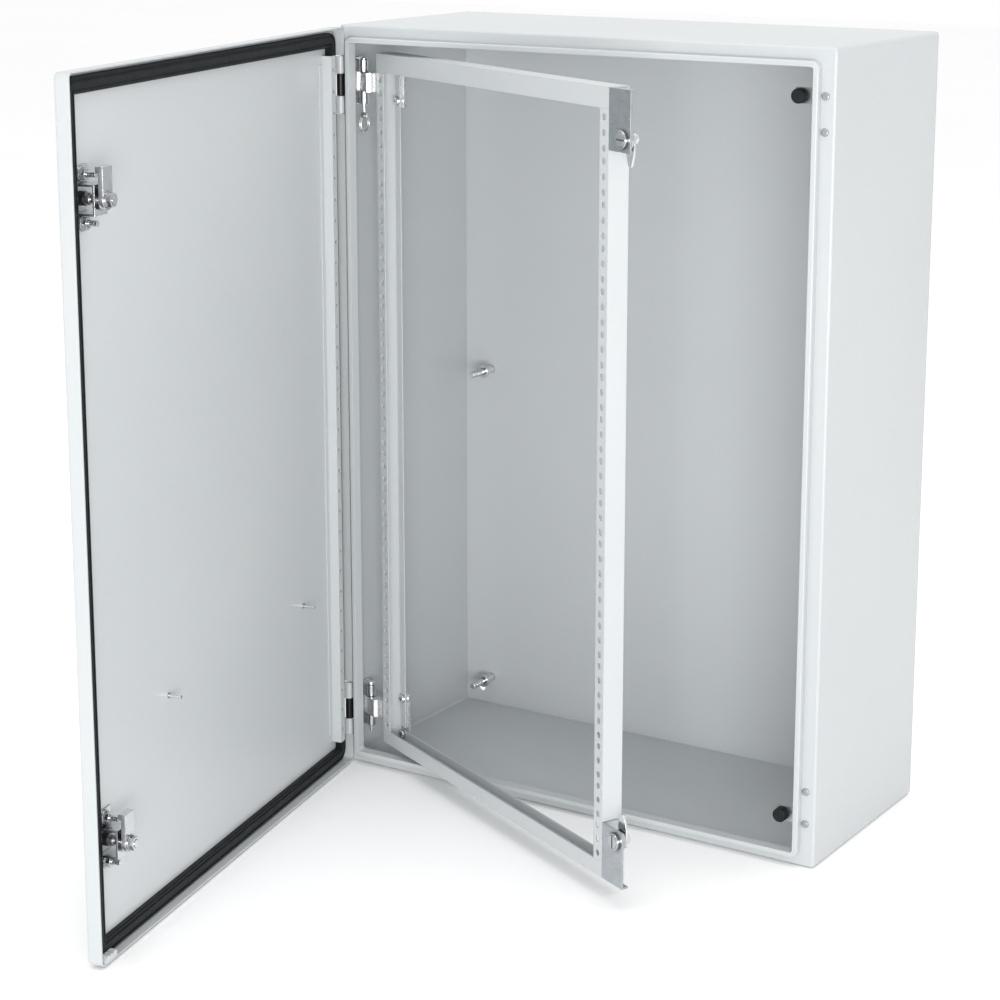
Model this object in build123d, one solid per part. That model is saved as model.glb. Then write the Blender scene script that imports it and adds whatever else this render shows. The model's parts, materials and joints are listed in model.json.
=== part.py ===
from build123d import *
import os

# Wall-mounted switchboard cabinet with a hinged door and a hinged 19-inch swing frame.
# Origin: centre of the wall-fixing hole pattern on the outer face of the rear wall.
# +X right, +Y towards the wall, +Z up, millimetres. The front faces -Y.
# Door and frame parts are built shut and then turned open about their hinge axes.

# ---- driving dimensions: the box ----
WIDTH = 630.0
HEIGHT = 900.0
DEPTH = 265.0
SHEET = 1.5                 # body sheet thickness
BEND = 2.5                  # outer radius of the folded sheet edges
CORNER = 4.0                # radius of the four long edges of the box
LEFT = -WIDTH / 2
RIGHT = WIDTH / 2
FRONT = -DEPTH              # plane of the front flange
FLANGE_LEFT = 12.5          # flat widths of the front flange, outside the lip
FLANGE_RIGHT = 16.5
FLANGE_TOP = 14.0
FLANGE_BOTTOM = 11.0
LIP_WIDTH = 6.0             # rain lip round the opening, a folded double sheet
LIP_HEIGHT = 9.0
LIP_RETURN = 3.0            # how far the lip's inner leaf reaches behind the flange
OPENING_CORNER = 3.0        # radius of the clear opening's corners
OPENING_W = WIDTH - FLANGE_LEFT - FLANGE_RIGHT - 2 * LIP_WIDTH
OPENING_H = HEIGHT - FLANGE_TOP - FLANGE_BOTTOM - 2 * LIP_WIDTH
OPENING_X = (FLANGE_LEFT - FLANGE_RIGHT) / 2
OPENING_Z = (FLANGE_BOTTOM - FLANGE_TOP) / 2

# ---- wall fixing and mounting-plate studs ----
FIX_X = 290.0               # half spacing of the wall-fixing holes
FIX_Z = 430.0
FIX_R = 4.5
STUD_X = 276.0              # half spacing of the plate studs
STUD_Z = 413.0
STUD_R = 4.0
STUD_ROOT_R = 3.6
STUD_LEN = 46.0
SPACER_LEN = 18.0
SPACER_R = 5.6
WASHER_R = 8.2
WASHER_T = 3.0

# ---- front fittings ----
PLUG_EDGE = 11.5            # cover plugs, from the box's side
PLUG_STEP = 18.7            # half spacing of a pair of plugs
PLUG_R = 4.2
HINGE_Z = 381.0             # centre height of both door hinges, above and below the middle
HINGE_SCREW = 7.0           # half spacing of a hinge's screws
BUMPER_X = 270.0
BUMPER_Z = 398.0
BUMPER_R = 8.0
BUMPER_LEN = 10.0

# ---- door ----
DOOR_OPEN = 78.0            # degrees open as stored
DOOR_W = 625.0
DOOR_H = 895.0
DOOR_DEPTH = 16.5
DOOR_GAP = 1.0              # between the door's edge and the front flange
DOOR_FACE = FRONT - DOOR_GAP - DOOR_DEPTH
DOOR_SKIN = DOOR_FACE + SHEET
DOOR_CORNER = 6.0
PIVOT_X = LEFT + 4.5        # door hinge axis
PIVOT_Y = FRONT - 5.5
KNUCKLE_R = 4.5
DOOR_PIN_R = 2.0
KNUCKLE_FIXED = 25.0        # height of the fixed knuckle, in the middle of each hinge
KNUCKLE_MOVING = 20.0       # height of each moving knuckle
HINGE_FOOT_X = PIVOT_X + 6.5
HINGE_SCREW_X = PIVOT_X + 1.5
GASKET_W = 17.0
GASKET_FOOT = 5.0           # height of the gasket's flat foot
GASKET_OUT = 5.5            # gasket's outer edge, outside the lip
GASKET_CLEAR = 0.3          # between the shut gasket and the lip
RAIL_S = 30.0               # perforated rail's wall, from the hinge axis
RAIL_H = 12.5
RAIL_FLANGE = 12.0
RAIL_HALF = 416.0
RAIL_PITCH = 25.0
WELD_STUD_S = (105.0, 440.0)   # bare weld studs on the door, from the hinge axis
WELD_STUD_Z = -221.0
RAMP_H = 6.3                # stays below the rain lip when the door is shut

# ---- door locks ----
LOCK_X = DOOR_W / 2 - 38.0
LOCK_Z = 325.0
LOCK_STUD = 23.5            # half spacing of a lock bracket's studs
BRACKET_T = 2.0
BRACKET_TOP = 24.0          # top of the bracket above the door's outer face
CAM_BOTTOM = 27.0
CAM_T = 5.0
CAM_LEN = 32.0
ROTOR_R = 4.0
RUN = 0.05                  # radial running clearance

# ---- swing frame ----
FRAME_OPEN = 26.0
FRAME_W = 482.6             # 19 inches
FRAME_BOTTOM = -425.5
FRAME_TOP = 417.5
FRAME_DEPTH = 25.0
FRAME_SHEET = 1.5
HOLE_FLANGE = 16.3          # leaves the 450 mm clear width of a 19-inch frame
BACK_FLANGE = 13.0
TOP_FACE = 22.0
BOTTOM_FACE = 17.0
RACK_HALF = 465.1 / 2       # half the distance between the hole columns
RACK_UNIT = 44.45
RACK_OFFSETS = (6.35, 22.225, 38.1)
RACK_UNITS = 18
RACK_HOLE_R = 3.4
AXIS_X = LEFT + 16.6        # frame hinge axis
AXIS_Y = FRONT + 24.0
FRAME_X = AXIS_X + 23.0     # frame's left edge when shut
FRAME_Y = AXIS_Y + 4.0      # frame's front plane when shut
PIN_R = 3.0
BLOCK_Z = 383.0             # centre height of the frame's hinge blocks
BLOCK_H = 22.0
ARM_H = 14.0
LEAF_SPANS = {1: (354.0, 415.5), -1: (-424.0, -364.0)}
LEAF_SCREWS = {1: (361.5, 410.0), -1: (-372.0, -418.0)}
LEAF_SCREW_R = 2.5
LEAF_SCREW_IN = 7.2         # leaf screws, from the frame's left edge
FRAME_LOCK_X = FRAME_X + FRAME_W + 24.5
FRAME_LOCK_IN = 50.0        # frame lock centre from the frame's end
PLATE_W = 38.0
PLATE_H = 63.0
PLATE_T = 2.0

SIDES = {"upper": 1, "lower": -1}
PAIRS = [(sign, side) for sign in (1, -1) for side in (1, -1)]
parts = {}


# ---- small shape helpers ----
def block(x0, x1, y0, y1, z0, z1):
    """Axis-aligned block between two corners."""
    return Pos((x0 + x1) / 2, (y0 + y1) / 2, (z0 + z1) / 2) * Box(x1 - x0, y1 - y0, z1 - z0)


def rod_z(x, y, z0, z1, radius):
    """Upright cylinder."""
    return Pos(x, y, (z0 + z1) / 2) * Cylinder(radius, z1 - z0)


def rod_y(x, z, y0, y1, radius):
    """Cylinder lying along the depth."""
    return Pos(x, (y0 + y1) / 2, z) * Rot(90, 0, 0) * Cylinder(radius, y1 - y0)


def rod_x(y, z, x0, x1, radius):
    """Cylinder lying along the width."""
    return Pos((x0 + x1) / 2, y, z) * Rot(0, 90, 0) * Cylinder(radius, x1 - x0)


def hex_y(x, z, y0, y1, across):
    """Hexagon prism lying along the depth."""
    profile = Plane.XZ.offset(-y0) * Pos(x, z) * RegularPolygon(across / 2, 6, major_radius=False)
    return extrude(profile, -(y1 - y0))


def panel(width, height, corner, y0, y1, x=0.0, z=0.0):
    """Upright rounded rectangle between two depths."""
    profile = Plane.XZ.offset(-y0) * Pos(x, z) * RectangleRounded(width, height, corner)
    return extrude(profile, -(y1 - y0))


def joined(solids):
    """Several separate solids written as one node."""
    return Compound(children=list(solids))


def open_door(shape):
    return shape.rotate(Axis((PIVOT_X, PIVOT_Y, 0), (0, 0, 1)), -DOOR_OPEN)


def open_frame(shape):
    return shape.rotate(Axis((AXIS_X, AXIS_Y, 0), (0, 0, 1)), -FRAME_OPEN)


# ---- cabinet body ----
def opening_panel(grow, y0, y1):
    """Rounded rectangle concentric with the opening, larger by grow on every side."""
    radius = max(OPENING_CORNER + grow, 1.5)
    return panel(OPENING_W + 2 * grow, OPENING_H + 2 * grow, radius, y0, y1, OPENING_X, OPENING_Z)


def body_shell():
    """Sides, top and bottom folded from one sheet, with the front flange and its rain lip."""
    outer = panel(WIDTH, HEIGHT, CORNER, FRONT, -SHEET)
    outer = fillet(outer.faces().sort_by(Axis.Y)[0].edges(), BEND)
    cavity = panel(WIDTH - 2 * SHEET, HEIGHT - 2 * SHEET, CORNER - SHEET, FRONT + SHEET, 0)
    crest = FRONT - LIP_HEIGHT
    lip_end = FRONT + SHEET + LIP_RETURN
    lip = opening_panel(LIP_WIDTH, crest, FRONT + SHEET)
    lip = fillet(lip.faces().sort_by(Axis.Y)[0].edges(), SHEET)
    inner_leaf = opening_panel(SHEET, crest + SHEET, lip_end)
    fold = opening_panel(LIP_WIDTH - SHEET, crest + SHEET, lip_end + 1)
    leaf_core = opening_panel(SHEET, crest + SHEET - 1, lip_end + 2)
    shell = outer - cavity - opening_panel(0, FRONT - 1, FRONT + SHEET + 1) + lip
    shell = shell - (fold - leaf_core)
    shell = shell + inner_leaf - opening_panel(0, crest - 1, lip_end + 1)
    for z in pair_heights(PLUG_STEP):
        shell = shell - rod_y(RIGHT - PLUG_EDGE, z, FRONT - 1, FRONT + SHEET + 1, PLUG_R - 0.6)
    for z in pair_heights(HINGE_SCREW):
        shell = shell - rod_y(HINGE_SCREW_X, z, FRONT - 1, FRONT + SHEET + 1, 1.6)
    return shell


def pair_heights(step):
    """Heights of the fasteners that sit in pairs above and below each hinge's centre."""
    return [sign * HINGE_Z + side * step for sign, side in PAIRS]


def rear_wall():
    """Welded-in rear sheet with the four wall-fixing holes."""
    wall = panel(WIDTH, HEIGHT, CORNER, -SHEET, 0)
    for x in (-FIX_X, FIX_X):
        for z in (-FIX_Z, FIX_Z):
            wall = wall - rod_y(x, z, -SHEET - 1, 1, FIX_R)
    return wall


def stud_places():
    return [(x, z) for x in (-STUD_X, STUD_X) for z in (-STUD_Z, 0.0, STUD_Z)]


def plate_stud(x, z):
    """M8 weld stud for the mounting plate, thinner behind the washer, with a chamfered tip."""
    thread_end = -SHEET - SPACER_LEN - WASHER_T
    stud = rod_y(x, z, -SHEET - STUD_LEN, thread_end, STUD_R)
    stud = chamfer(stud.faces().sort_by(Axis.Y)[0].edges(), 0.8)
    return stud + rod_y(x, z, thread_end, -SHEET, STUD_ROOT_R)


def plate_spacer(x, z):
    y0 = -SHEET - SPACER_LEN
    return rod_y(x, z, y0, -SHEET, SPACER_R) - rod_y(x, z, y0 - 1, 0, STUD_R + RUN)


def plate_washer(x, z):
    y0 = -SHEET - SPACER_LEN - WASHER_T
    disc = rod_y(x, z, y0, y0 + WASHER_T, WASHER_R)
    disc = chamfer(disc.faces().sort_by(Axis.Y)[0].edges(), 0.6)
    return disc - rod_y(x, z, y0 - 1, 0, STUD_R + RUN)


def flange_plug(z):
    """Domed cover plug in a spare hinge hole of the right flange."""
    x = RIGHT - PLUG_EDGE
    head = rod_y(x, z, FRONT - 1.6, FRONT, PLUG_R)
    head = fillet(head.faces().sort_by(Axis.Y)[0].edges(), 1.2)
    return head + rod_y(x, z, FRONT, FRONT + 5, PLUG_R - 0.7)


def bumper_bracket(sign):
    """Small angle bracket: a front leg that carries the bumper and a leg on the side wall."""
    wall = RIGHT - SHEET
    front = FRONT + 12
    z = sign * BUMPER_Z
    leg = block(BUMPER_X - 7, wall, front, front + 2, z - 8.5, z + 8.5)
    side = block(wall - 2, wall, front + 2, front + 24, z - 8.5, z + 8.5)
    return leg + side - rod_y(BUMPER_X, z, front - 1, front + 3, 3.0)


def bumper(sign):
    """Rubber buffer with a rounded face, pushed into the bracket."""
    front = FRONT + 12
    z = sign * BUMPER_Z
    face = rod_y(BUMPER_X, z, front - BUMPER_LEN, front, BUMPER_R)
    face = fillet(face.faces().sort_by(Axis.Y)[0].edges(), 2.0)
    stem = rod_y(BUMPER_X, z, front, front + 4, 2.9)
    return face + stem


# ---- door hinges ----
def hinge_fixed(sign):
    """Cabinet half of a door hinge: a bored knuckle on a web."""
    z = sign * HINGE_Z
    half = KNUCKLE_FIXED / 2
    knuckle = rod_z(PIVOT_X, PIVOT_Y, z - half, z + half, KNUCKLE_R)
    web = block(PIVOT_X - 2.5, PIVOT_X + KNUCKLE_R, PIVOT_Y, FRONT, z - half, z + half)
    solid = knuckle + web - rod_z(PIVOT_X, PIVOT_Y, z - half - 1, z + half + 1, DOOR_PIN_R)
    for step in (HINGE_SCREW, -HINGE_SCREW):
        solid = solid - rod_y(HINGE_SCREW_X, z + step, FRONT - 2.5, FRONT + 1, 1.55)
    return solid


def hinge_reach():
    return KNUCKLE_FIXED / 2 + 0.5 + KNUCKLE_MOVING


def hinge_moving(sign):
    """Door half of a hinge: two bored knuckles on one block welded to the door's skin."""
    z = sign * HINGE_Z
    low = KNUCKLE_FIXED / 2 + 0.5
    high = hinge_reach()
    solid = block(PIVOT_X - 0.3, HINGE_FOOT_X, DOOR_SKIN, DOOR_SKIN + 3.5, z - high, z + high)
    for side in (1, -1):
        z0, z1 = sorted((z + side * low, z + side * high))
        knuckle = rod_z(PIVOT_X, PIVOT_Y, z0, z1, KNUCKLE_R)
        web = block(PIVOT_X - 0.3, PIVOT_X + KNUCKLE_R, DOOR_SKIN + 3.5, PIVOT_Y, z0, z1)
        solid = solid + knuckle + web
    return solid - rod_z(PIVOT_X, PIVOT_Y, z - high - 1, z + high + 1, DOOR_PIN_R + RUN)


def hinge_pin(sign):
    z = sign * HINGE_Z
    reach = hinge_reach()
    return rod_z(PIVOT_X, PIVOT_Y, z - reach, z + reach, DOOR_PIN_R)


def hinge_screw(z):
    """Screw from inside the flange into the fixed knuckle's web."""
    head = rod_y(HINGE_SCREW_X, z, FRONT + SHEET, FRONT + SHEET + 2.2, 3.0)
    head = fillet(head.faces().sort_by(Axis.Y)[-1].edges(), 1.2)
    return head + rod_y(HINGE_SCREW_X, z, FRONT - 2.2, FRONT + SHEET, 1.5)


# ---- door ----
def door_panel():
    """Folded door tray, notched on the hinge side for the two hinges."""
    tray = panel(DOOR_W, DOOR_H, DOOR_CORNER, DOOR_FACE, DOOR_FACE + DOOR_DEPTH)
    tray = fillet(tray.faces().sort_by(Axis.Y)[0].edges(), BEND)
    hollow = panel(DOOR_W - 2 * SHEET, DOOR_H - 2 * SHEET, DOOR_CORNER - SHEET, DOOR_SKIN, FRONT)
    tray = tray - hollow
    notch = hinge_reach() + 1.0
    for sign in SIDES.values():
        z = sign * HINGE_Z
        tray = tray - block(-DOOR_W / 2 - 1, -DOOR_W / 2 + 3, DOOR_SKIN + 3.5, FRONT, z - notch, z + notch)
        tray = tray - rod_y(LOCK_X, sign * LOCK_Z, DOOR_FACE - 1, DOOR_SKIN + 1, 7.2)
        slot_z = sign * (DOOR_H / 2 - SHEET / 2)
        tray = tray - block(PIVOT_X + 9, PIVOT_X + 16, DOOR_SKIN + 8, DOOR_SKIN + 11, slot_z - 1, slot_z + 1)
    return tray


def door_gasket():
    """Foamed seal on the door: a flat foot, a high bead over the lip and low ribs beside it."""
    outer = LIP_WIDTH + GASKET_OUT

    def hoop(inset, width, y1):
        inner = opening_panel(outer - inset - width, DOOR_SKIN - 1, y1 + 1)
        return opening_panel(outer - inset, DOOR_SKIN, y1) - inner

    foot = DOOR_SKIN + GASKET_FOOT
    top = FRONT - LIP_HEIGHT - GASKET_CLEAR
    seal = hoop(0, GASKET_W, foot)
    seal = seal + hoop(0.6, 1.8, foot + 1.2)
    seal = seal + hoop(4.4, 8.2, top - 0.6)
    seal = seal + hoop(5.6, 5.8, top)
    seal = seal + hoop(14.0, 1.8, foot + 1.2)
    notch = hinge_reach() + 0.5
    for sign in SIDES.values():
        z = sign * HINGE_Z
        seal = seal - block(LEFT, HINGE_FOOT_X + 0.4, DOOR_SKIN - 1, FRONT, z - notch, z + notch)
    return seal


def door_rail():
    """Perforated Z rail for fixing wiring to the door, along the hinge side."""
    wall_x = PIVOT_X + RAIL_S
    top = DOOR_SKIN + RAIL_H
    wall = block(wall_x - SHEET, wall_x, DOOR_SKIN, top, -RAIL_HALF, RAIL_HALF)
    face = block(wall_x - RAIL_FLANGE, wall_x, top - SHEET, top, -RAIL_HALF, RAIL_HALF)
    foot = block(wall_x, wall_x + 8, DOOR_SKIN, DOOR_SKIN + SHEET, -RAIL_HALF + 10, RAIL_HALF - 10)
    rail = wall + face + foot
    count = int(2 * (RAIL_HALF - 12) / RAIL_PITCH)
    slots = []
    for i in range(count + 1):
        z = (i - count / 2) * RAIL_PITCH
        slots.append(rod_y(wall_x - RAIL_FLANGE / 2 - 0.5, z, top - 3, top + 1, 2.2))
    return rail - slots


def weld_stud(s, z):
    stud = rod_y(PIVOT_X + s, z, DOOR_SKIN, DOOR_SKIN + 15, 2.0)
    return stud + rod_y(PIVOT_X + s, z, DOOR_SKIN, DOOR_SKIN + 1.0, 3.2)


def door_ramp():
    """Sloped guide block in the door's bottom free corner, which lifts the door into line."""
    x1 = DOOR_W / 2 - SHEET - 5
    x0 = x1 - 24
    z0 = -DOOR_H / 2 + SHEET
    outline = Polyline((x0, z0), (x1, z0), (x1, z0 + 3), (x1 - 5, z0 + RAMP_H), (x0, z0 + RAMP_H), close=True)
    profile = Plane.XZ.offset(-(FRONT - 8.6)) * make_face(outline)
    ramp = extrude(profile, -7.5)
    for x in (x0 + 7, x0 + 12):
        ramp = ramp - block(x, x + 2, FRONT - 9, FRONT, z0 + RAMP_H - 2, z0 + RAMP_H + 1)
    return ramp


# ---- door locks, axis along the depth at (LOCK_X, sign * LOCK_Z) ----
def height(value):
    """Depth coordinate of a height above the door's outer face."""
    return DOOR_FACE + value


def lock_bracket(sign):
    """Hat-section bracket that carries the lock's spindle on two weld studs."""
    z = sign * LOCK_Z
    half = 12.0
    solid = block(LOCK_X - half, LOCK_X + half, height(BRACKET_TOP - BRACKET_T), height(BRACKET_TOP),
                  z - 15, z + 15)
    for side in (1, -1):
        w0, w1 = sorted((z + side * 13, z + side * 15))
        f0, f1 = sorted((z + side * 13, z + side * 32))
        wall = block(LOCK_X - half, LOCK_X + half, height(SHEET), height(BRACKET_TOP), w0, w1)
        foot = block(LOCK_X - half, LOCK_X + half, height(SHEET), height(SHEET + BRACKET_T), f0, f1)
        solid = solid + wall + foot
        solid = solid - rod_y(LOCK_X, z + side * LOCK_STUD, height(0), height(6), 3.05)
    return solid - rod_y(LOCK_X, z, height(BRACKET_TOP - 4), height(BRACKET_TOP + 1), ROTOR_R + RUN)


def lock_barrel(sign):
    """Lock housing through the door: round escutcheon outside, body and collar inside."""
    z = sign * LOCK_Z
    escutcheon = rod_y(LOCK_X, z, height(-3), height(0), 14.0)
    escutcheon = fillet(escutcheon.faces().sort_by(Axis.Y)[0].edges(), 1.2)
    body = rod_y(LOCK_X, z, height(0), height(8), 7.0)
    recess = rod_y(LOCK_X, z, height(-4), height(-0.8), 8.0)
    return escutcheon + body - recess - rod_y(LOCK_X, z, height(-1), height(9), ROTOR_R + RUN)


def lock_collar(sign):
    """Bright collar round the spindle, on the barrel."""
    z = sign * LOCK_Z
    collar = rod_y(LOCK_X, z, height(8), height(15), 6.2)
    collar = chamfer(collar.faces().sort_by(Axis.Y)[-1].edges(), 0.8)
    return collar - rod_y(LOCK_X, z, height(7), height(16), ROTOR_R + RUN)


def lock_stud(sign, side):
    z = sign * LOCK_Z + side * LOCK_STUD
    return rod_y(LOCK_X, z, height(SHEET), height(20), 3.0)


def lock_nut(sign, side):
    """Flange nut on a bracket stud."""
    z = sign * LOCK_Z + side * LOCK_STUD
    low = SHEET + BRACKET_T
    flange = rod_y(LOCK_X, z, height(low), height(low + 1.5), 7.5)
    nut = flange + hex_y(LOCK_X, z, height(low + 1.5), height(low + 6.5), 11.0)
    return nut - rod_y(LOCK_X, z, height(low - 1), height(low + 8), 3.05)


def lock_rotor(sign):
    """Double-bit key insert and spindle, square at the cam, threaded beyond it."""
    z = sign * LOCK_Z
    head = rod_y(LOCK_X, z, height(-2.5), height(-0.8), 7.9 - RUN)
    floor = height(-1.3)
    socket = rod_y(LOCK_X, z, height(-3), floor, 5.0) - rod_y(LOCK_X, z, height(-3), floor, 2.4)
    bit = block(LOCK_X - 6.5, LOCK_X + 6.5, height(-3), floor, z - 0.8, z + 0.8)
    bit = bit - rod_y(LOCK_X, z, height(-3), floor, 2.4)
    spindle = rod_y(LOCK_X, z, height(-0.8), height(CAM_BOTTOM + CAM_T + 7), ROTOR_R)
    shoulder = rod_y(LOCK_X, z, height(BRACKET_TOP + 0.3), height(CAM_BOTTOM), 7.0)
    return head + spindle + shoulder - socket - bit


def lock_cam(sign):
    """Flat cam with a rounded root and a turned-down tongue end, pointing up when unlocked."""
    z = sign * LOCK_Z
    low = height(CAM_BOTTOM)
    high = height(CAM_BOTTOM + CAM_T)
    root = rod_y(LOCK_X, z, low, high, 10.0)
    arm = block(LOCK_X - 9, LOCK_X + 9, low, high, z, z + CAM_LEN)
    lug = block(LOCK_X - 9, LOCK_X + 9, low - 3, low, z + CAM_LEN - 6, z + CAM_LEN)
    return root + arm + lug - rod_y(LOCK_X, z, low - 1, high + 1, ROTOR_R)


def cam_nut(sign):
    z = sign * LOCK_Z
    low = CAM_BOTTOM + CAM_T
    washer = rod_y(LOCK_X, z, height(low), height(low + 1.2), 8.0)
    nut = washer + hex_y(LOCK_X, z, height(low + 1.2), height(low + 6.2), 13.0)
    return nut - rod_y(LOCK_X, z, height(low - 1), height(low + 7), ROTOR_R)


# ---- swing frame, built shut ----
def frame_rail(side):
    """Upright C-section rail with rack holes in its front flange; side -1 left, 1 right."""
    z0 = FRAME_BOTTOM + BOTTOM_FACE
    z1 = FRAME_TOP - TOP_FACE
    edge = FRAME_X if side < 0 else FRAME_X + FRAME_W
    inward = -side

    def strip(x_from, x_to, y_from, y_to):
        xa, xb = sorted((edge + inward * x_from, edge + inward * x_to))
        return block(xa, xb, FRAME_Y + y_from, FRAME_Y + y_to, z0, z1)

    rail = strip(0, HOLE_FLANGE, 0, FRAME_SHEET)
    rail = rail + strip(0, FRAME_SHEET, 0, FRAME_DEPTH)
    rail = rail + strip(0, BACK_FLANGE, FRAME_DEPTH - FRAME_SHEET, FRAME_DEPTH)
    middle = FRAME_X + FRAME_W / 2
    x = middle + side * RACK_HALF
    if side < 0:
        rail = rail - leaf_hole(LEAF_SCREWS[1][0]) - leaf_hole(LEAF_SCREWS[-1][0])
    return rail - [rod_y(x, z, FRAME_Y - 1, FRAME_Y + 3, RACK_HOLE_R) for z in rack_heights()]


def rack_heights():
    """Heights of the rack holes: three in each unit, the units centred in the clear opening."""
    clear_middle = (FRAME_BOTTOM + BOTTOM_FACE + FRAME_TOP - TOP_FACE) / 2
    start = clear_middle - RACK_UNITS * RACK_UNIT / 2
    return [start + unit * RACK_UNIT + step for unit in range(RACK_UNITS) for step in RACK_OFFSETS]


def frame_crossbar(edge, face, inward):
    """Cross C-section at the frame's top or bottom edge, with closed ends."""
    x1 = FRAME_X + FRAME_W

    def strip(z_from, z_to, y_from, y_to, xa=FRAME_X, xb=x1):
        za, zb = sorted((edge + inward * z_from, edge + inward * z_to))
        return block(xa, xb, FRAME_Y + y_from, FRAME_Y + y_to, za, zb)

    bar = strip(0, face, 0, FRAME_SHEET)
    bar = bar + strip(0, FRAME_SHEET, 0, FRAME_DEPTH)
    bar = bar + strip(0, BACK_FLANGE, FRAME_DEPTH - FRAME_SHEET, FRAME_DEPTH)
    bar = bar + strip(0, face, 0, FRAME_DEPTH, FRAME_X, FRAME_X + FRAME_SHEET)
    bar = bar + strip(0, face, 0, FRAME_DEPTH, x1 - FRAME_SHEET, x1)
    return bar - leaf_hole(LEAF_SCREWS[-inward][1])


def frame_hinge_block(sign):
    """Frame half of a hinge: bored block, side leaf and back leaf round the left rail."""
    z = sign * BLOCK_Z
    half = BLOCK_H / 2
    knuckle = rod_z(AXIS_X, AXIS_Y, z - half, z + half, 6.0)
    outline = Polyline((AXIS_X - 5.5, AXIS_Y - 6), (AXIS_X + 17, AXIS_Y - 6), (AXIS_X + 19, AXIS_Y - 1.5),
                       (FRAME_X, AXIS_Y + 1), (FRAME_X, AXIS_Y + 8), (AXIS_X, AXIS_Y + 6), (AXIS_X - 5.5, AXIS_Y), close=True)
    arm = extrude(Plane.XY.offset(z - half) * make_face(outline), BLOCK_H)
    side_leaf = block(FRAME_X - 3, FRAME_X, FRAME_Y, FRAME_Y + FRAME_DEPTH + 3, z - half, z + half)
    low, high = LEAF_SPANS[sign]
    back_leaf = block(FRAME_X - 3, FRAME_X + 19.5, FRAME_Y + FRAME_DEPTH, FRAME_Y + FRAME_DEPTH + 3, low, high)
    solid = knuckle + arm + side_leaf + back_leaf
    for z_screw in LEAF_SCREWS[sign]:
        solid = solid - leaf_hole(z_screw)
    return solid - rod_z(AXIS_X, AXIS_Y, z - half - 1, z + half + 1, PIN_R + RUN)


def leaf_hole(z):
    """Clearance hole for a leaf screw, through the frame's back flange and the leaf."""
    return rod_y(FRAME_X + LEAF_SCREW_IN, z, FRAME_Y + 10, FRAME_Y + 40, LEAF_SCREW_R + 0.1)


def leaf_screw(z):
    """Pan-head screw and nut that clamp a hinge leaf to the rail's back flange."""
    x = FRAME_X + LEAF_SCREW_IN
    flange_front = FRAME_Y + FRAME_DEPTH - FRAME_SHEET
    head = rod_y(x, z, flange_front - 3.5, flange_front, 5.5)
    head = fillet(head.faces().sort_by(Axis.Y)[0].edges(), 1.5)
    slot = block(x - 3, x + 3, flange_front - 4, flange_front - 1.8, z - 0.7, z + 0.7)
    slot = slot + block(x - 0.7, x + 0.7, flange_front - 4, flange_front - 1.8, z - 3, z + 3)
    shank = rod_y(x, z, flange_front, FRAME_Y + FRAME_DEPTH + 9, LEAF_SCREW_R)
    nut = hex_y(x, z, FRAME_Y + FRAME_DEPTH + 3, FRAME_Y + FRAME_DEPTH + 7, 8.0)
    return head - slot + shank + nut


def lock_height(sign):
    return FRAME_TOP - FRAME_LOCK_IN if sign > 0 else FRAME_BOTTOM + FRAME_LOCK_IN


def frame_lock_plate(sign):
    """Angle plate that carries a frame lock, beside the right rail."""
    edge = FRAME_X + FRAME_W
    z0, z1 = (FRAME_TOP - PLATE_H, FRAME_TOP) if sign > 0 else (FRAME_BOTTOM, FRAME_BOTTOM + PLATE_H)
    face = block(edge, edge + PLATE_W, FRAME_Y, FRAME_Y + PLATE_T, z0, z1)
    leg = block(edge, edge + PLATE_T, FRAME_Y + PLATE_T, FRAME_Y + 20, z0, z1)
    rim_z0, rim_z1 = (z1 - PLATE_T, z1) if sign > 0 else (z0, z0 + PLATE_T)
    rim = block(edge + PLATE_T, edge + PLATE_W, FRAME_Y + PLATE_T, FRAME_Y + 8, rim_z0, rim_z1)
    return face + leg + rim - rod_y(FRAME_LOCK_X, lock_height(sign), FRAME_Y - 1, FRAME_Y + 3, 7.1)


def frame_lock_barrel(sign):
    """Barrel of a slotted quarter-turn lock, with a collar against the plate."""
    z = lock_height(sign)
    collar = rod_y(FRAME_LOCK_X, z, FRAME_Y - 3.5, FRAME_Y, 9.5)
    collar = fillet(collar.faces().sort_by(Axis.Y)[0].edges(), 1.0)
    body = rod_y(FRAME_LOCK_X, z, FRAME_Y, FRAME_Y + 8, 7.0)
    nut = hex_y(FRAME_LOCK_X, z, FRAME_Y + PLATE_T, FRAME_Y + 8, 19.0)
    recess = rod_y(FRAME_LOCK_X, z, FRAME_Y - 5, FRAME_Y - 1, 7.5 + RUN)
    return collar + body + nut - recess - rod_y(FRAME_LOCK_X, z, FRAME_Y - 8, FRAME_Y + 9, 5.0 + RUN)


def frame_lock_rotor(sign):
    """Slotted rotor that turns in the barrel."""
    z = lock_height(sign)
    disc = rod_y(FRAME_LOCK_X, z, FRAME_Y - 4, FRAME_Y - 1, 7.5)
    disc = chamfer(disc.faces().sort_by(Axis.Y)[0].edges(), 0.5)
    rotor = disc + rod_y(FRAME_LOCK_X, z, FRAME_Y - 1, FRAME_Y + 8.5, 5.0)
    spindle = rod_y(FRAME_LOCK_X, z, FRAME_Y + 8.5, FRAME_Y + 18, 3.0)
    slot = block(FRAME_LOCK_X - 8, FRAME_LOCK_X + 8, FRAME_Y - 5, FRAME_Y - 2.2, z - 0.9, z + 0.9)
    if sign < 0:
        slot = slot.rotate(Axis((FRAME_LOCK_X, 0, z), (0, 1, 0)), 90)
    return rotor + spindle - slot


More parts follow.
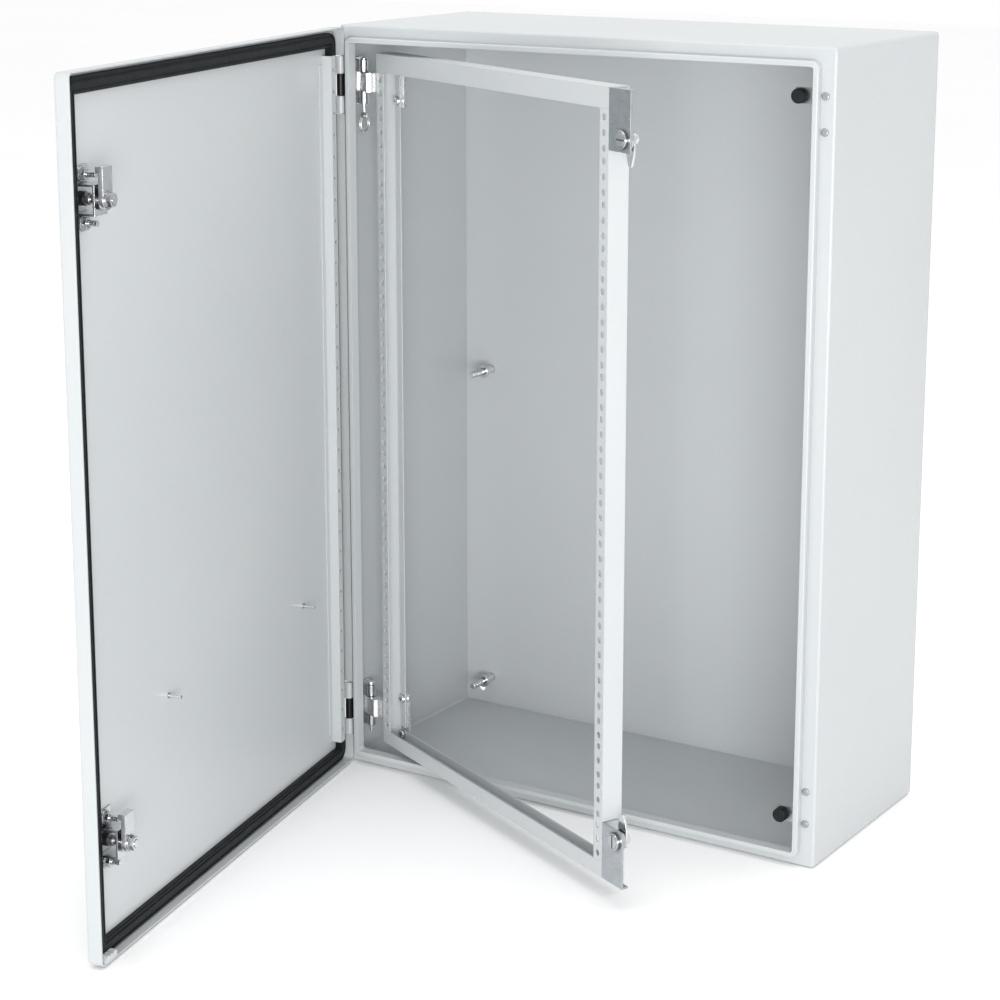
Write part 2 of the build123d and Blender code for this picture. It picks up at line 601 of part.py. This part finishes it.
def frame_lock_tongue(sign):
    """Pointed tongue behind the plate; it points down on the upper lock, up on the lower."""
    z = lock_height(sign)
    way = -sign
    tip = z + way * 28
    outline = Polyline((FRAME_LOCK_X - 7, z - way * 7), (FRAME_LOCK_X + 7, z - way * 7),
                       (FRAME_LOCK_X + 7, z + way * 14), (FRAME_LOCK_X + 2.5, tip),
                       (FRAME_LOCK_X - 2.5, tip), (FRAME_LOCK_X - 7, z + way * 14), close=True)
    profile = Plane.XZ.offset(-(FRAME_Y + 9)) * make_face(outline)
    return extrude(profile, -2.5) - rod_y(FRAME_LOCK_X, z, FRAME_Y + 8, FRAME_Y + 12, 3.0)


def frame_lock_nut(sign):
    z = lock_height(sign)
    nut = hex_y(FRAME_LOCK_X, z, FRAME_Y + 11.5, FRAME_Y + 16.5, 10.0)
    return nut - rod_y(FRAME_LOCK_X, z, FRAME_Y + 11, FRAME_Y + 17, 3.0)


# ---- frame hinge brackets and pins, fixed to the cabinet ----
def arm_spans(sign):
    """Height spans of a bracket's two knuckles, above and below the frame's block."""
    z = sign * BLOCK_Z
    near = BLOCK_H / 2 + 0.5
    return [(z + near, z + near + ARM_H), (z - near - ARM_H, z - near)]


def frame_bracket(sign):
    """Wall plate with two bored knuckles that carry the frame's hinge pin."""
    wall = LEFT + SHEET
    spans = arm_spans(sign)
    z0 = min(span[0] for span in spans) - 2
    z1 = max(span[1] for span in spans) + 2
    plate = block(wall, wall + 3, AXIS_Y - 6, AXIS_Y + 15, z0, z1)
    for low, high in spans:
        plate = plate + rod_z(AXIS_X, AXIS_Y, low, high, 5.5)
        plate = plate + block(wall + 3, AXIS_X, AXIS_Y - 2.5, AXIS_Y + 2.5, low, high)
        plate = plate - rod_z(AXIS_X, AXIS_Y, low - 1, high + 1, PIN_R + RUN)
    return plate


def bracket_screw(sign, side):
    """Button-head screw holding a bracket to the side wall."""
    x = LEFT + SHEET + 3
    z = sign * BLOCK_Z + side * 19
    head = rod_x(AXIS_Y + 9, z, x, x + 2.4, 4.0)
    return fillet(head.faces().sort_by(Axis.X)[-1].edges(), 1.4)


PIN_EYE_Z = BLOCK_Z - BLOCK_H / 2 - 0.5 - ARM_H - 14
RING_R = 10.0
RING_WIRE = 1.0
RING_TURN = 8.0             # the eye and its ring are turned a little on the pin


def frame_pin_upper():
    """Pull-out pin with a thin neck and an eye for the ring."""
    spans = arm_spans(1)
    low = spans[1][0] - 3
    high = spans[0][1] + 3
    pin = rod_z(AXIS_X, AXIS_Y, low, high, PIN_R)
    pin = chamfer(pin.faces().sort_by(Axis.Z)[-1].edges(), 1.5)
    neck = rod_z(AXIS_X, AXIS_Y, PIN_EYE_Z, low, 1.4)
    eye = rod_y(AXIS_X, PIN_EYE_Z, AXIS_Y - 1.5, AXIS_Y + 1.5, 3.8)
    bore = rod_y(AXIS_X, PIN_EYE_Z, AXIS_Y - 4, AXIS_Y + 4, 2.3)
    turn = Axis((AXIS_X, AXIS_Y, 0), (0, 0, 1))
    return (pin + neck + eye - bore).rotate(turn, RING_TURN)


def pull_ring():
    """Split ring of two touching coils, hanging in the pin's eye."""
    coil = Rot(0, 90, 0) * Torus(RING_R, RING_WIRE)
    pair = Pos(-0.9, 0, 0) * coil + Pos(0.9, 0, 0) * coil
    return Pos(AXIS_X, AXIS_Y, PIN_EYE_Z - RING_R) * Rot(0, 0, RING_TURN) * pair


def frame_pin_lower():
    """Lower pin: a head that rests on the upper knuckle and a stepped tip below the bracket."""
    spans = arm_spans(-1)
    head = rod_z(AXIS_X, AXIS_Y, spans[0][1] + 0.2, spans[0][1] + 4, 4.6)
    head = chamfer(head.faces().sort_by(Axis.Z)[-1].edges(), 1.0)
    pin = rod_z(AXIS_X, AXIS_Y, spans[1][0] - 1, spans[0][1] + 1, PIN_R) + head
    return pin + rod_z(AXIS_X, AXIS_Y, spans[1][0] - 9, spans[1][0] - 1, 2.0)


# ---- assembly ----
parts["body_shell"] = body_shell()
parts["rear_wall"] = rear_wall()
parts["plate_studs"] = joined(plate_stud(x, z) for x, z in stud_places())
parts["plate_spacers"] = joined(plate_spacer(x, z) for x, z in stud_places())
parts["plate_washers"] = joined(plate_washer(x, z) for x, z in stud_places())
parts["flange_plugs"] = joined(flange_plug(z) for z in pair_heights(PLUG_STEP))
parts["bumper_brackets"] = joined(bumper_bracket(sign) for sign in SIDES.values())
parts["bumpers"] = joined(bumper(sign) for sign in SIDES.values())
parts["door_hinge_pins"] = joined(hinge_pin(sign) for sign in SIDES.values())
parts["door_hinge_screws"] = joined(hinge_screw(z) for z in pair_heights(HINGE_SCREW))
parts["frame_bracket_screws"] = joined(bracket_screw(sign, side) for sign, side in PAIRS)

parts["door_panel"] = open_door(door_panel())
parts["door_gasket"] = open_door(door_gasket())
parts["door_rail"] = open_door(door_rail())
parts["door_weld_studs"] = open_door(joined(weld_stud(s, WELD_STUD_Z) for s in WELD_STUD_S))
parts["door_ramp"] = open_door(door_ramp())
parts["door_lock_studs"] = open_door(joined(lock_stud(sign, side) for sign, side in PAIRS))
parts["door_lock_nuts"] = open_door(joined(lock_nut(sign, side) for sign, side in PAIRS))

parts["frame_left_rail"] = open_frame(frame_rail(-1))
parts["frame_right_rail"] = open_frame(frame_rail(1))
parts["frame_top_rail"] = open_frame(frame_crossbar(FRAME_TOP, TOP_FACE, -1))
parts["frame_bottom_rail"] = open_frame(frame_crossbar(FRAME_BOTTOM, BOTTOM_FACE, 1))
screw_heights = LEAF_SCREWS[1] + LEAF_SCREWS[-1]
parts["frame_hinge_screws"] = open_frame(joined(leaf_screw(z) for z in screw_heights))

parts["frame_pin_upper"] = frame_pin_upper()
parts["frame_pin_lower"] = open_frame(frame_pin_lower())
parts["pull_ring"] = pull_ring()

for name, sign in SIDES.items():
    parts[f"door_hinge_fixed_{name}"] = hinge_fixed(sign)
    parts[f"door_hinge_moving_{name}"] = open_door(hinge_moving(sign))
    parts[f"door_lock_bracket_{name}"] = open_door(lock_bracket(sign))
    parts[f"door_lock_barrel_{name}"] = open_door(lock_barrel(sign))
    parts[f"door_lock_collar_{name}"] = open_door(lock_collar(sign))
    parts[f"door_lock_rotor_{name}"] = open_door(lock_rotor(sign))
    parts[f"door_lock_cam_{name}"] = open_door(lock_cam(sign))
    parts[f"door_lock_cam_nut_{name}"] = open_door(cam_nut(sign))
    parts[f"frame_bracket_{name}"] = frame_bracket(sign)
    parts[f"frame_hinge_block_{name}"] = open_frame(frame_hinge_block(sign))
    parts[f"frame_lock_plate_{name}"] = open_frame(frame_lock_plate(sign))
    parts[f"frame_lock_barrel_{name}"] = open_frame(frame_lock_barrel(sign))
    parts[f"frame_lock_rotor_{name}"] = open_frame(frame_lock_rotor(sign))
    parts[f"frame_lock_tongue_{name}"] = open_frame(frame_lock_tongue(sign))
    parts[f"frame_lock_nut_{name}"] = open_frame(frame_lock_nut(sign))

os.makedirs("parts", exist_ok=True)
for name, shape in parts.items():
    export_step(shape, f"parts/{name}.step")
print(len(parts), "nodes written")
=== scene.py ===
import bpy, bmesh, json, math
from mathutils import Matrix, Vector


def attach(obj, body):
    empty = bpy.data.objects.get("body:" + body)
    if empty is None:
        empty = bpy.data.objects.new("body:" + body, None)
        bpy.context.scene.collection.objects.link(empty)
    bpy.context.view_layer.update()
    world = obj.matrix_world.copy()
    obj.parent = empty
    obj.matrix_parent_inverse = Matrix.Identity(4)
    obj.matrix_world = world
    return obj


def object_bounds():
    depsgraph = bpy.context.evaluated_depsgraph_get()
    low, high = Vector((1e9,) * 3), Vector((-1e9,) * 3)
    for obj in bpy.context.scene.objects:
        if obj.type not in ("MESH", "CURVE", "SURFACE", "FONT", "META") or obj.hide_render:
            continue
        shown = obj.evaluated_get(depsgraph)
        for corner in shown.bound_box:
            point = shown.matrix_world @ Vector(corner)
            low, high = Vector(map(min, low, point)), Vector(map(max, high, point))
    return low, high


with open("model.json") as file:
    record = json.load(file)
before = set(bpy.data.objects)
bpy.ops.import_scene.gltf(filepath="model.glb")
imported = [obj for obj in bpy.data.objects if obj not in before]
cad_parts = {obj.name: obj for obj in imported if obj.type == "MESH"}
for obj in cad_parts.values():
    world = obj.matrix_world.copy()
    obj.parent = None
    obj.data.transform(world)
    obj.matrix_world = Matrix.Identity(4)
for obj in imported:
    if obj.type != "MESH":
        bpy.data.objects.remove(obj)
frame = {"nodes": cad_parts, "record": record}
cad_lo, cad_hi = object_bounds()
nodes = frame["nodes"]
scene = bpy.context.scene


# ---- materials ----
# A noise texture stays nearly always between these two values.
NOISE_LOW = 0.3
NOISE_HIGH = 0.7
PAINTED_SHADE_REACH = 0.004     # how far the painted shade reaches into corners and gaps, in metres
PAINTED_SHADE_SAMPLES = 6
EDGE_SAMPLES = 4


class Nodes:
    """Small helper for building one procedural material."""

    def __init__(self, name, **sockets):
        self.material = bpy.data.materials.new(name)
        self.material.use_nodes = True
        self.tree = self.material.node_tree
        self.shader = self.tree.nodes["Principled BSDF"]
        for key, value in sockets.items():
            self.shader.inputs[key.replace("_", " ")].default_value = value
        self.coords = self.tree.nodes.new("ShaderNodeTexCoord").outputs["Object"]

    def link(self, a, b):
        self.tree.links.new(a, b)

    def noise(self, scale, detail=2.0, rough=0.5, stretch=None):
        node = self.tree.nodes.new("ShaderNodeTexNoise")
        node.inputs["Scale"].default_value = scale
        node.inputs["Detail"].default_value = detail
        node.inputs["Roughness"].default_value = rough
        source = self.coords
        if stretch:
            mapping = self.tree.nodes.new("ShaderNodeMapping")
            mapping.inputs["Scale"].default_value = stretch
            self.link(self.coords, mapping.inputs["Vector"])
            source = mapping.outputs["Vector"]
        self.link(source, node.inputs["Vector"])
        return node.outputs["Fac"]

    def ramp(self, fac, stops):
        node = self.tree.nodes.new("ShaderNodeValToRGB")
        elements = node.color_ramp.elements
        while len(elements) < len(stops):
            elements.new(0.5)
        for element, (position, color) in zip(elements, stops):
            element.position = position
            element.color = (*color, 1.0)
        self.link(fac, node.inputs["Fac"])
        return node.outputs["Color"]

    def blend(self, fac, low, high):
        """Blends two colours by a noise value."""
        return self.ramp(fac, [(NOISE_LOW, low), (NOISE_HIGH, high)])

    def spread(self, fac, low, high):
        """Maps a noise value to a range."""
        node = self.tree.nodes.new("ShaderNodeMapRange")
        node.inputs["From Min"].default_value = NOISE_LOW
        node.inputs["From Max"].default_value = NOISE_HIGH
        node.inputs["To Min"].default_value = low
        node.inputs["To Max"].default_value = high
        self.link(fac, node.inputs["Value"])
        return node.outputs["Result"]

    def painted_crevice_shade(self, color):
        """Darkens a colour in corners and gaps by ambient occlusion: painted shade."""
        node = self.tree.nodes.new("ShaderNodeAmbientOcclusion")
        node.samples = PAINTED_SHADE_SAMPLES
        node.inputs["Distance"].default_value = PAINTED_SHADE_REACH
        self.link(color, node.inputs["Color"])
        return node.outputs["Color"]

    def bump(self, height, distance, strength, edge=0.0):
        """Fine relief. A radius given as edge shades sharp edges as if rounded by it."""
        node = self.tree.nodes.new("ShaderNodeBump")
        if edge:
            bevel = self.tree.nodes.new("ShaderNodeBevel")
            bevel.samples = EDGE_SAMPLES
            bevel.inputs["Radius"].default_value = edge
            self.link(bevel.outputs["Normal"], node.inputs["Normal"])
        node.inputs["Strength"].default_value = strength
        node.inputs["Distance"].default_value = distance
        self.link(height, node.inputs["Height"])
        self.link(node.outputs["Normal"], self.shader.inputs["Normal"])


def powder_coat():
    """Light grey textured powder coat: fine orange peel and a faint change of tone."""
    m = Nodes("powder_coat_grey", Roughness=0.42, IOR=1.5, Coat_Weight=0.25, Coat_Roughness=0.22)
    tone = m.blend(m.noise(3.0, 3.0), (0.478, 0.500, 0.511), (0.500, 0.522, 0.531))
    m.link(tone, m.shader.inputs["Base Color"])
    m.link(m.spread(m.noise(220.0, 2.0), 0.38, 0.48), m.shader.inputs["Roughness"])
    m.bump(m.noise(900.0, 2.0, 0.55), distance=0.00006, strength=0.5, edge=0.0012)
    return m.material


def zinc(name, base, dark, rough_low, rough_high):
    """Plated steel with faint cloudy tones, fine rolling marks and painted shade in corners and
    gaps.
    """
    m = Nodes(name, Metallic=1.0, IOR=2.4)
    clouds = m.blend(m.noise(70.0, 3.0), dark, base)
    # painted shade: base colour darkened by ambient occlusion in corners and gaps
    m.link(m.painted_crevice_shade(clouds), m.shader.inputs["Base Color"])
    m.link(m.spread(m.noise(260.0, 2.0), rough_low, rough_high), m.shader.inputs["Roughness"])
    m.bump(m.noise(700.0, 2.0, 0.5, (1.0, 1.0, 0.25)), distance=0.00001, strength=0.3, edge=0.0006)
    return m.material


def rubber(name, low, high, rough, grain, shine=0.5):
    """Matt foam, rubber or moulded plastic with a fine grain."""
    m = Nodes(name, Roughness=rough, IOR=1.45, Specular_IOR_Level=shine)
    m.link(m.blend(m.noise(90.0, 4.0), low, high), m.shader.inputs["Base Color"])
    m.link(m.spread(m.noise(400.0, 2.0), rough - 0.06, rough + 0.08), m.shader.inputs["Roughness"])
    m.bump(m.noise(grain, 3.0, 0.6), distance=0.00012, strength=0.6)
    return m.material


COAT = powder_coat()
ZINC = zinc("zinc_bright", (0.76, 0.77, 0.79), (0.66, 0.675, 0.70), 0.16, 0.26)
SATIN = zinc("zinc_satin", (0.46, 0.49, 0.51), (0.40, 0.425, 0.44), 0.26, 0.36)
CHROME = zinc("chrome_lock", (0.56, 0.57, 0.59), (0.48, 0.49, 0.51), 0.12, 0.20)
BRIGHT = zinc("zinc_polished", (0.90, 0.90, 0.90), (0.84, 0.84, 0.85), 0.24, 0.34)
SEAL = rubber("seal_black", (0.005, 0.007, 0.008), (0.012, 0.014, 0.015), 0.55, 1400.0, 0.28)
PLASTIC = rubber("plastic_black", (0.006, 0.007, 0.008), (0.012, 0.013, 0.014), 0.34, 2200.0, 0.35)
GREY = rubber("plastic_grey", (0.50, 0.52, 0.52), (0.56, 0.58, 0.58), 0.45, 1800.0)

# Each node takes its slot's material, apart from a few whose finish differs.
by_slot = {
    "powder_coat": COAT,
    "zinc": ZINC,
    "seal_black": SEAL,
    "plastic_black": PLASTIC,
    "plastic_grey": GREY,
}
slots = {part["node"]: part["material_slot"] for part in frame["record"]["subparts"]}
for name, node in nodes.items():
    material = by_slot[slots[name]]
    if name.startswith(("frame_lock_plate", "bumper_brackets", "flange_plugs")):
        material = SATIN
    elif name.startswith(("frame_hinge_block", "frame_pin", "pull_ring", "door_lock_collar")):
        material = BRIGHT
    elif name.startswith(("frame_lock_barrel", "frame_lock_rotor")):
        material = CHROME
    elif name.startswith("door_rail"):
        material = COAT
    node.data.materials.clear()
    node.data.materials.append(material)


# ---- screw threads on the bare studs, which the CAD leaves as plain rods ----
STEPS_PER_TURN = 20
RIDGE_HALF_WIDTH = 0.32   # in pitches, along the stud
RIDGE_HEIGHT = 0.14       # in pitches, above the rod
ROOT_DEPTH = 0.00008      # how far a ridge's foot sinks into the rod, in metres
POINT_DIGITS = 6          # points that agree to this many digits are one point
DOOR_OPEN_DEG = 78


def islands(name):
    """Separate solids of a node, each as its list of points, in a fixed order."""
    mesh = nodes[name].data
    parent = list(range(len(mesh.vertices)))

    def root(i):
        while parent[i] != i:
            parent[i] = parent[parent[i]]
            i = parent[i]
        return i

    places = {}
    for v in mesh.vertices:
        key = tuple(round(c, POINT_DIGITS) for c in v.co)
        parent[root(v.index)] = root(places.setdefault(key, v.index))
    for edge in mesh.edges:
        parent[root(edge.vertices[0])] = root(edge.vertices[1])
    groups = {}
    for v in mesh.vertices:
        groups.setdefault(root(v.index), []).append(v.co.copy())
    return sorted(groups.values(), key=lambda g: (round(sum(p.z for p in g) / len(g), 4), g[0].x))


def thread(name, node, outward, length, pitch, body):
    """Helical ridges on the last stretch of each stud of a node, up to the chamfer at its tip."""
    outward = Vector(outward).normalized()
    side = outward.cross(Vector((0, 0, 1))).normalized()
    up = side.cross(outward)
    profile = (
        (-RIDGE_HALF_WIDTH, -ROOT_DEPTH),
        (0.0, RIDGE_HEIGHT * pitch),
        (RIDGE_HALF_WIDTH, -ROOT_DEPTH),
    )
    bm = bmesh.new()
    for points in islands(node):
        tip = max(points, key=lambda p: p.dot(outward)).dot(outward)
        ring = [p for p in points if tip - length * 1.5 < p.dot(outward)]
        across = [p.dot(side) for p in ring]
        upright = [p.dot(up) for p in ring]
        centre = side * (min(across) + max(across)) / 2 + up * (min(upright) + max(upright)) / 2
        radius = (max(upright) - min(upright)) / 2
        steps = int((length - pitch) / pitch) * STEPS_PER_TURN
        rows = []
        for i in range(steps + 1):
            angle = 2 * math.pi * i / STEPS_PER_TURN
            along = tip - length + pitch * i / STEPS_PER_TURN
            spoke = side * math.cos(angle) + up * math.sin(angle)
            fade = min(1.0, i / STEPS_PER_TURN, (steps - i) / STEPS_PER_TURN)
            row = []
            for shift, rise in profile:
                place = centre + outward * (along + shift * pitch) + spoke * (radius + rise * fade)
                row.append(bm.verts.new(place))
            rows.append(row)
        for a, b in zip(rows, rows[1:]):
            for j in (0, 1):
                bm.faces.new((a[j], a[j + 1], b[j + 1], b[j]))
            bm.faces.new((a[2], a[0], b[0], b[2]))
        for row in (rows[0], rows[-1]):
            bm.faces.new(row)
    bmesh.ops.recalc_face_normals(bm, faces=bm.faces)
    data = bpy.data.meshes.new(name)
    bm.to_mesh(data)
    bm.free()
    data.materials.append(ZINC)
    piece = bpy.data.objects.new(name, data)
    scene.collection.objects.link(piece)
    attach(piece, body)


door_turn = math.radians(DOOR_OPEN_DEG)
door_inward = (math.sin(door_turn), math.cos(door_turn), 0)
thread("plate_stud_threads", "plate_studs", (0, -1, 0), 0.0240, 0.00125, "cabinet")
thread("door_lock_stud_threads", "door_lock_studs", door_inward, 0.0090, 0.0010, "door")


# ---- floor, light and camera ----
FLOOR_HALF_SIZE = 12.0
FLOOR_GAP = 0.0005        # keeps the floor clear of the cabinet's underside
SENSOR_WIDTH = 36.0       # millimetres
FOCAL_TO_SENSOR = 2.4814
CAMERA_PLACE = (1.3982, -2.6076, 0.6554)
CAMERA_YAW_DEG = 32.51
CAMERA_DOWN_DEG = 12.67
CAMERA_SHIFT_Y = -0.10


def floor():
    data = bpy.data.meshes.new("floor")
    bm = bmesh.new()
    bmesh.ops.create_grid(bm, x_segments=2, y_segments=2, size=FLOOR_HALF_SIZE)
    bm.to_mesh(data)
    bm.free()
    plane = bpy.data.objects.new("floor", data)
    plane.location.z = cad_lo.z - FLOOR_GAP
    scene.collection.objects.link(plane)
    m = Nodes("floor_pale", Roughness=0.85, IOR=1.3)
    tone = m.blend(m.noise(0.8, 2.0), (0.97, 0.97, 0.97), (0.985, 0.985, 0.985))
    m.link(tone, m.shader.inputs["Base Color"])
    data.materials.append(m.material)


def area_light(name, place, target, size, power):
    data = bpy.data.lights.new(name, "AREA")
    data.shape = "SQUARE"
    data.size = size
    data.energy = power
    lamp = bpy.data.objects.new(name, data)
    lamp.location = place
    lamp.rotation_euler = (Vector(target) - Vector(place)).to_track_quat("-Z", "Y").to_euler()
    scene.collection.objects.link(lamp)


def camera():
    data = bpy.data.cameras.new("camera")
    data.sensor_width = SENSOR_WIDTH
    data.lens = SENSOR_WIDTH * FOCAL_TO_SENSOR
    data.shift_y = CAMERA_SHIFT_Y
    data.clip_end = 50.0
    cam = bpy.data.objects.new("camera", data)
    cam.location = CAMERA_PLACE
    yaw = math.radians(CAMERA_YAW_DEG)
    down = math.radians(CAMERA_DOWN_DEG)
    level = math.cos(down)
    look = Vector((-math.sin(yaw) * level, math.cos(yaw) * level, -math.sin(down)))
    cam.rotation_euler = look.to_track_quat("-Z", "Y").to_euler()
    scene.collection.objects.link(cam)
    scene.camera = cam


floor()
world = bpy.data.worlds.new("studio")
world.use_nodes = True
background = world.node_tree.nodes["Background"]
background.inputs["Color"].default_value = (1.0, 1.0, 1.0, 1.0)
background.inputs["Strength"].default_value = 1.0
scene.world = world
scene.view_settings.view_transform = "Standard"
area_light("key", (1.75, -3.0, -0.15), (0.0, -0.2, 0.0), size=1.3, power=80.0)
area_light("top", (0.2, -0.4, 3.0), (0.0, -0.15, 0.4), size=2.0, power=38.0)
camera()
